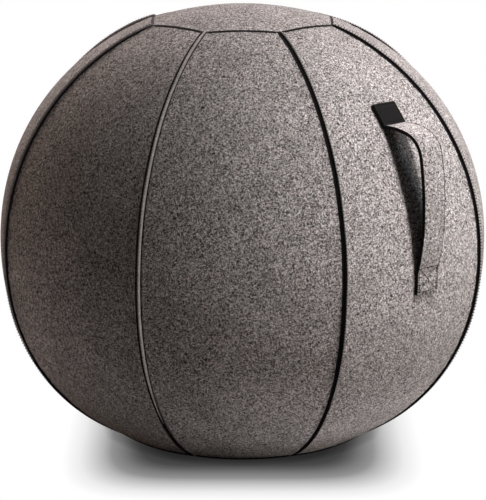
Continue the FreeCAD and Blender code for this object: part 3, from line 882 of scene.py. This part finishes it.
def biarc(start, start_way, end, end_way):
    """Two tangent arcs, each as (start, direction, end)."""
    chord, ways = end - start, start_way + end_way
    spread = 2 * (1 - start_way.dot(end_way))
    reach = chord.dot(ways)
    leg = (-reach + math.sqrt(reach**2 + spread * chord.dot(chord))) / spread
    joint = (start + end + (start_way - end_way) * leg) * 0.5
    return (start, start_way, joint), (joint, mirrored(start_way, joint - start), end)


def arc_route(start, way, end):
    """Points and directions along an arc that leaves start in a direction and goes to end."""
    chord, normal = end - start, outward_of(way)
    reach = chord.dot(chord) / (2 * chord.dot(normal))
    turn = 2 * math.atan2(chord.dot(normal), chord.dot(way))
    route = []
    for step in range(ARC_STEPS):
        angle = turn * step / ARC_STEPS
        shift = way * math.sin(angle) + normal * (1 - math.cos(angle))
        route.append((start + shift * reach, way * math.cos(angle) + normal * math.sin(angle)))
    return route


# %% The strap's route
HANDLE_BOW = 49 * MM
HANDLE_CREST = 0.25
LEAVE_TURN = math.radians(60)
CREST_TURN = math.radians(-8)
MEET_TURN = math.radians(-16)
free_chord = meet - leave
crest_way = free_chord.normalized()
strap_crest = leave + free_chord * HANDLE_CREST + outward_of(crest_way) * HANDLE_BOW
free_leave = Matrix.Rotation(LEAVE_TURN, 2) @ leave_way
free_crest = Matrix.Rotation(CREST_TURN, 2) @ crest_way
free_meet = Matrix.Rotation(MEET_TURN, 2) @ meet_way
arcs = [
    (top_spot, mirrored(leave_way, leave - top_spot), leave),
    *biarc(leave, free_leave, strap_crest, free_crest),
    *biarc(strap_crest, free_crest, meet, free_meet),
    (meet, meet_way, end_spot),
]
route = [spot for arc in arcs for spot in arc_route(*arc)]
route.append((end_spot, mirrored(meet_way, end_spot - meet)))
print("route:", len(arcs), "arcs,", len(route), "points")

# %% Its length
lengths = [0.0]
for (here, _), (after, _) in zip(route, route[1:]):
    lengths.append(lengths[-1] + (after - here).length)
strap_length = lengths[-1]
sewn_top = lengths[ARC_STEPS]
sewn_bottom = lengths[(len(arcs) - 1) * ARC_STEPS]
print("strap:", round(strap_length, 4), "m long")
print("sewn down for", round(sewn_top, 4), "and", round(strap_length - sewn_bottom, 4))

# %% A strip along the route
STRAP_ALONG = 220
CORNER_CUT = 0.3
HAIR = 1e-9


def strap_point(length, across, lift):
    """A point beside the strap's route: metres along it, to its right, and away from the ball."""
    length = min(max(length, 0.0), strap_length)
    step = next(i for i in range(1, len(lengths)) if lengths[i] >= length - HAIR)
    share = (length - lengths[step - 1]) / (lengths[step] - lengths[step - 1])
    point = route[step - 1][0].lerp(route[step][0], share)
    way = route[step - 1][1].lerp(route[step][1], share).normalized()
    flat = point + outward_of(way) * lift
    return Vector((across, -flat.x, flat.y))


def rounded_strip(width, low, high, edge):
    """Outline of a strip's cross-section with rounded edges, in millimetres."""
    half, middle = width / MM / 2, (low + high) / MM / 2
    low, high, edge = low / MM, high / MM, edge / MM
    cut = edge * CORNER_CUT
    right = [(half - edge, high), (half - cut, high - cut), (half, middle)]
    right += [(half - cut, low + cut), (half - edge, low)]
    return [(0, high)] + right + [(0, low)] + [(-x, y) for x, y in reversed(right)]


def girth(outline, share):
    """Metres round an outline, from its first corner to a share of its corners."""
    steps = round(share * len(outline))
    return arc_length([Vector(outline[step % len(outline)]) for step in range(steps + 1)]) * MM


def strip_mesh(outline):
    """A closed band along the whole strap. Its UVs are metres round it and along it."""

    def place(u, v):
        across, lift = loop_point(outline, u)
        return strap_point(strap_length * v, across * MM, lift * MM)

    mesh = bent_grid(len(outline), STRAP_ALONG, place, (1.0, strap_length), rolled=True)
    layer = mesh.loops.layers.uv.active
    for face in mesh.faces:
        for loop in face.loops:
            share, along = loop[layer].uv
            loop[layer].uv = (girth(outline, share), along)
    return mesh


# %% [markdown]
# ### Felt strap and webbing
# The strap's two sewn ends stay on the ball while its bow swings, so a strap that rode on
# one body would tear off at its ends. It could be split, but felt doesn't hinge. So each
# piece is whole, and it rides on no body.

# %% Felt and backing
STRAP_WIDTH = 38 * MM
STRAP_FELT = 3.0 * MM
STRAP_BACKING = 1.2 * MM
BACKING_MARGIN = 0.8 * MM
FELT_ROUNDING, WEB_ROUNDING = 1.0 * MM, 0.4 * MM
STRAP_NODES = ["strap_upper_end", "strap_upper_bend", "strap_grip", "strap_lower_bend", "strap_lower_end"]
felt_low = STRAP_BACKING
felt_high = felt_low + STRAP_FELT


def blend_handle(piece):
    """Bakes a piece's placing into its mesh."""
    away = outward_of(crest_way)
    away = Vector((0, -away.x, away.y))
    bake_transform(piece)


strap_outline = rounded_strip(STRAP_WIDTH, felt_low, felt_high, FELT_ROUNDING)
strap = finished("handle_strap", strip_mesh(strap_outline), strap_felt, None, STRAP_NODES)
blend_handle(strap)
backing_width = STRAP_WIDTH + 2 * BACKING_MARGIN
backing_mesh = strip_mesh(rounded_strip(backing_width, 0, STRAP_BACKING, WEB_ROUNDING))
backing = finished("handle_backing", backing_mesh, webbing, None, ["strap_backing"])
blend_handle(backing)
print("strap:", round(STRAP_WIDTH, 4), "m wide on a backing of", round(backing_width, 4))

# %% [markdown]
# ### Thread along the strap's edges
# Black thread is overlocked over both long edges of the felt. Single loops would be too
# fine to see, so on each side a thin band wraps the edge and laps over the felt's face.

# %% Edging
EDGING_OUT, EDGING_IN = 0.2, 0.5
EDGING_BULGE = 0.2
EDGING_UNDER = 0.1
EDGING_ROLL_IN, EDGING_ROLL_UP = 0.1, 0.35
EDGING_HEM, EDGING_LAP = 0.15, 0.6
half_width, face_height = STRAP_WIDTH / MM / 2, felt_high / MM
outer, inner = half_width + EDGING_OUT, half_width - EDGING_IN
edging_outline = [
    (outer, -EDGING_UNDER),
    (outer + EDGING_BULGE, face_height / 2),
    (outer, face_height),
    (half_width - EDGING_ROLL_IN, face_height + EDGING_ROLL_UP),
    (inner, face_height + EDGING_HEM),
    (inner, face_height - EDGING_LAP),
    (inner, -EDGING_UNDER),
]
for side, label in ((-1, "left"), (1, "right")):
    edging = strip_mesh([(side * across, lift) for across, lift in edging_outline])
    blend_handle(finished(f"handle_edging_{label}", edging, thread, None))
print("edging:", round(EDGING_OUT + EDGING_IN, 1), "mm of thread on each edge")

# %% [markdown]
# ### Label patch
# A square black patch is sewn over the strap's upper end. A box with a bevel would be too
# stiff for the curve under it. So it is a grid on the strap's own route, with rounded edges
# and a pressed groove near them as part of its height.

# %% Patch
PATCH_ACROSS, PATCH_ALONG = 60, 50
PATCH_WIDTH = 41 * MM
PATCH_CLEARANCE = 0.4 * MM
PATCH_RISE = 1.0 * MM
PATCH_SHEET = 0.8 * MM
PATCH_ROUNDING = 0.5 * MM
PATCH_GAP = 0.1 * MM
GROOVE_INSET = 4 * MM
GROOVE_WIDTH = 0.7 * MM
GROOVE_DEPTH = 0.6 * MM
patch_end = sewn_top - PATCH_CLEARANCE


def patch_place(u, v):
    x, y = (u - 0.5) * PATCH_WIDTH, v * patch_end
    inset = min(PATCH_WIDTH / 2 - abs(x), y, patch_end - y)
    groove = math.exp(-(((inset - GROOVE_INSET) / GROOVE_WIDTH) ** 2))
    rounded = 1 - math.exp(-inset / PATCH_ROUNDING)
    lift = felt_high + PATCH_GAP + PATCH_RISE * rounded - GROOVE_DEPTH * groove
    return strap_point(y, x, lift)


patch = bent_grid(PATCH_ACROSS, PATCH_ALONG, patch_place, (PATCH_WIDTH, patch_end))
facing_out(patch)
bmesh.ops.solidify(patch, geom=patch.faces[:], thickness=PATCH_SHEET)
finished("label_patch_face", patch, patch_black, "ball", ["label_patch"])
print("patch:", round(PATCH_WIDTH, 4), "by", round(patch_end, 4))

# %% [markdown]
# ### Stitches of the strap's lower end
# The lower end is sewn down with a box and a cross, the usual bar tack for webbing. It is
# laid out flat on the strap, as a sewer sees it, and each stitch is put on the route.

# %% Box and cross
BOX_WIDTH = 33 * MM
BOX_TOP = sewn_bottom - 8 * MM
BOX_BOTTOM = strap_length - 3 * MM
BOX_STITCH = 3.0 * MM
BOX_STITCH_RADIUS = 0.65 * MM
BOX_STITCH_LIFT = 0.15 * MM
BOX_STITCH_ENDS = (0.08, 0.92)
OUT_STEP = 10 * MM
left, right = -BOX_WIDTH / 2, BOX_WIDTH / 2
box_lines = [
    ((left, BOX_TOP), (right, BOX_TOP)),
    ((right, BOX_TOP), (right, BOX_BOTTOM)),
    ((right, BOX_BOTTOM), (left, BOX_BOTTOM)),
    ((left, BOX_BOTTOM), (left, BOX_TOP)),
    ((left, BOX_TOP), (right, BOX_BOTTOM)),
    ((right, BOX_TOP), (left, BOX_BOTTOM)),
]
box_stitches = bmesh.new()
box_count = 0
for (x0, y0), (x1, y1) in box_lines:
    outward = (strap_point(y0, 0, OUT_STEP) - strap_point(y0, 0, 0)).normalized()
    count = round(math.hypot(x1 - x0, y1 - y0) / BOX_STITCH)
    for number in range(count):
        shares = [(number + end) / count for end in BOX_STITCH_ENDS]
        lift = felt_high + BOX_STITCH_LIFT
        start, end = (strap_point(mix(y0, y1, share), mix(x0, x1, share), lift) for share in shares)
        add_stitch(box_stitches, start, end, outward, BOX_STITCH_RADIUS)
    box_count += count
finished("handle_stitches", box_stitches, thread, "ball")
print("box:", box_count, "stitches")

# %% [markdown]
# ## The floor
# The picture has a plain white ground with one soft shadow under the ball. Lamps bright
# enough to make the floor white would burn the felt out. So the floor shows its own white
# to the camera and is a plain light grey to the lamps. Its white is darkened by a soft
# patch under the ball, in the same rounded oblong as the photograph's shadow, and by the
# contact itself.

# %% The soft shadow's tones
SHADOW_REACH = (0.176, 0.242, 1.0)
SHADOW_TURN = math.radians(-45)
SHADOW_SQUARENESS = 5.2
SHADOW_TONES = [(0.66, "#363636"), (0.78, "#484848"), (0.84, "#5f5f5f"), (0.9, "#787878")]
SHADOW_TONES += [(0.99, "#929292"), (1.05, "#b4b4b4"), (1.13, "#d2d2d2"), (1.22, "#ededed")]
SHADOW_TONES += [(1.35, "#ffffff")]


def soft_shadow(tree):
    """The floor's tone, by how far a point lies from the middle in the shadow's own sizes."""
    where = add(tree, "ShaderNodeTexCoord").outputs["Object"]
    turned = {"Rotation": (0, 0, SHADOW_TURN), "Scale": SHADOW_REACH}
    spread = add(tree, "ShaderNodeMapping", {"vector_type": "TEXTURE"}, Vector=where, **turned)
    parts = add(tree, "ShaderNodeSeparateXYZ", Vector=spread.outputs[0])
    powers = []
    for axis in ("X", "Y"):
        side = add(tree, "ShaderNodeMath", {"operation": "ABSOLUTE"}, _0=parts.outputs[axis])
        terms = {"_0": side.outputs[0], "_1": SHADOW_SQUARENESS}
        powers.append(add(tree, "ShaderNodeMath", {"operation": "POWER"}, **terms).outputs[0])
    total = add(tree, "ShaderNodeMath", {"operation": "ADD"}, _0=powers[0], _1=powers[1])
    terms = {"_0": total.outputs[0], "_1": 1 / SHADOW_SQUARENESS}
    away = add(tree, "ShaderNodeMath", {"operation": "POWER"}, **terms)
    # A ramp ends at 1 and the tones go on to 1.35, so both are halved.
    half = add(tree, "ShaderNodeMath", {"operation": "MULTIPLY"}, _0=away.outputs[0], _1=0.5)
    stops = [(place / 2, tone) for place, tone in SHADOW_TONES]
    return add(tree, "ShaderNodeValToRGB", {"stops": stops}, Fac=half.outputs[0]).outputs["Color"]


# %% Floor
FLOOR_SIZE = 14
CONTACT_REACH, CONTACT_SHARE = 0.015, 0.5
bpy.ops.mesh.primitive_plane_add(size=FLOOR_SIZE)
floor = bpy.context.object
floor.name = "studio_floor"
ground, tree = new_material("white_studio_floor")
contact = add(tree, "ShaderNodeAmbientOcclusion", {"samples": 8}, Distance=CONTACT_REACH)
shades = {"_6": soft_shadow(tree), "_7": contact.outputs["Color"]}
shadow = add(tree, "ShaderNodeMix", COLOUR_PRODUCT, _0=CONTACT_SHARE, **shades)
seen = add(tree, "ShaderNodeEmission", Color=shadow.outputs[2], Strength=1.0)
paint = add(tree, "ShaderNodeBsdfDiffuse", Color=linear("#d0d0d0"))
is_seen = add(tree, "ShaderNodeLightPath").outputs["Is Camera Ray"]
choice = add(tree, "ShaderNodeMixShader", _0=is_seen, _1=paint.outputs[0], _2=seen.outputs[0])
add(tree, "ShaderNodeOutputMaterial", Surface=choice.outputs[0])
floor.data.materials.append(ground)
print("floor:", FLOOR_SIZE, "m square")

# %% [markdown]
# ## The world
# A white world would light the ball from all sides and wash out its dark left. So the
# world is white only where the camera, or a mirror or glass, looks straight at it. To the
# felt it is a very dim warm fill.

# %% World
FILL_LEVEL = 0.012
world = bpy.data.worlds.new("studio")
bpy.context.scene.world = world
world.use_nodes = True
tree = world.node_tree
tree.nodes.clear()
rays = add(tree, "ShaderNodeLightPath")
is_seen = rays.outputs["Is Camera Ray"]
for kind in ("Is Glossy Ray", "Is Transmission Ray"):
    either = {"_0": is_seen, "_1": rays.outputs[kind]}
    is_seen = add(tree, "ShaderNodeMath", {"operation": "MAXIMUM"}, **either).outputs[0]
white = add(tree, "ShaderNodeBackground", Color=(1, 1, 1, 1), Strength=1.0)
dim = add(tree, "ShaderNodeBackground", Color=(1.0, 0.9, 0.85, 1), Strength=FILL_LEVEL)
choice = add(tree, "ShaderNodeMixShader", _0=is_seen, _1=dim.outputs[0], _2=white.outputs[0])
add(tree, "ShaderNodeOutputWorld", Surface=choice.outputs[0])
print("world:", world.name)

# %% [markdown]
# ## The lamps
# The photograph is lit hard from the upper right and falls off to a dark left side. One
# big lamp there could do that, but it would also shine into the gap behind the strap, which
# is nearly black. So the key is a pair of narrow lamps with soft rims that stand further
# forward, where the strap shades its own gap, and a third, cooler one lifts the front.
# Weaker lamps fill the sides, the top and the edges. A place is given as seen from the
# camera: degrees to its right, and upwards.

# %% Two kinds of lamp
SPOT_DISTANCE = 3.0
SPOT_ANGLE = math.radians(12)
SPOT_RADIUS = 0.3
# A kind of soft box is its distance from the ball and its size.
FAR_BOX, NEAR_BOX = (6.0, 0.8), (2.2, 1.2)
CAMERA_SIDE = 45


def way_to(azimuth, elevation):
    """A direction as seen from the camera, in degrees: azimuth to its right."""
    turn = math.radians(azimuth - CAMERA_SIDE)
    rise = math.radians(elevation)
    return Vector((math.sin(turn) * math.cos(rise), -math.cos(turn) * math.cos(rise), math.sin(rise)))


def hang(name, lamp, place, target, power, colour):
    """Puts a lamp at a place, turned to a target."""
    lamp.energy = power
    lamp.color = colour
    holder = bpy.data.objects.new(name, lamp)
    holder.location = place
    holder.rotation_euler = (place - target).to_track_quat("Z", "Y").to_euler()
    bpy.context.scene.collection.objects.link(holder)


def soft_box(name, place, kind, power, colour):
    """A square lamp, aimed at the middle of the ball."""
    distance, size = kind
    lamp = bpy.data.lights.new(name, "AREA")
    lamp.size = size
    hang(name, lamp, MIDDLE + way_to(*place) * distance, MIDDLE, power, colour)


def soft_spot(name, place, target, power, colour):
    """A narrow lamp with a fully soft rim, aimed at a part of the ball's right side."""
    lamp = bpy.data.lights.new(name, "SPOT")
    lamp.spot_size = SPOT_ANGLE
    lamp.spot_blend = 1.0
    lamp.shadow_soft_size = SPOT_RADIUS
    goal = MIDDLE + way_to(*target) * SEAM_RADIUS
    hang(name, lamp, MIDDLE + way_to(*place) * SPOT_DISTANCE, goal, power, colour)


# %% Eight lamps
soft_spot("key", (60, 60), target=(60, 10), power=745, colour=(1.0, 0.96, 0.97))
soft_spot("front_key", (60, 30), target=(60, 10), power=185, colour=(1.0, 0.97, 0.88))
soft_spot("low_key", (80, 20), target=(32, 28), power=60, colour=(0.62, 0.86, 1.0))
soft_box("front_side", (60, 0), FAR_BOX, power=14, colour=(1.0, 0.82, 0.76))
soft_box("side", (72, 0), FAR_BOX, power=40, colour=(1.0, 0.84, 0.72))
soft_box("top", (180, 70), NEAR_BOX, power=13, colour=(1.0, 0.9, 0.82))
soft_box("back", (180, 40), NEAR_BOX, power=36, colour=(1.0, 0.9, 0.9))
soft_box("rim", (-120, 10), NEAR_BOX, power=8, colour=(1.0, 0.72, 0.54))
print("lamps:", len(bpy.data.lights))

# %% [markdown]
# ## Camera
# The photograph looks at the ball from 45 degrees to the left of the handle and 12 degrees
# above the floor, from a little over three metres. The values come from fitting the seams,
# the top and the foot to the photograph. The camera aims a little below the ball's middle,
# so that the ball sits in the frame as it does there.

# %% The photograph's view
CAMERA_ELEVATION = math.radians(12.2)
CAMERA_DISTANCE = 3.178
CAMERA_TARGET = Vector((0, 0, 0.294))
AIM_BELOW = 0.0485
AIM_RIGHT = 0.0008
FOCAL_LENGTH, SENSOR_WIDTH = 169.3, 36
azimuth = math.radians(-CAMERA_SIDE)
level = math.cos(CAMERA_ELEVATION)
back = Vector((math.sin(azimuth) * level, -math.cos(azimuth) * level, math.sin(CAMERA_ELEVATION)))
camera = bpy.data.objects.new("camera", bpy.data.cameras.new("camera"))
camera.data.sensor_width = SENSOR_WIDTH
camera.data.lens = FOCAL_LENGTH
camera.location = CAMERA_TARGET + back * CAMERA_DISTANCE
to_right = Vector((0, 0, 1)).cross(back).normalized()
to_top = back.cross(to_right)
aim = CAMERA_TARGET - to_top * AIM_BELOW + to_right * AIM_RIGHT
camera.rotation_euler = (camera.location - aim).to_track_quat("Z", "Y").to_euler()
bpy.context.scene.collection.objects.link(camera)
bpy.context.scene.camera = camera
bpy.context.scene.view_settings.view_transform = "Standard"
print("camera:", [round(side, 3) for side in camera.location])
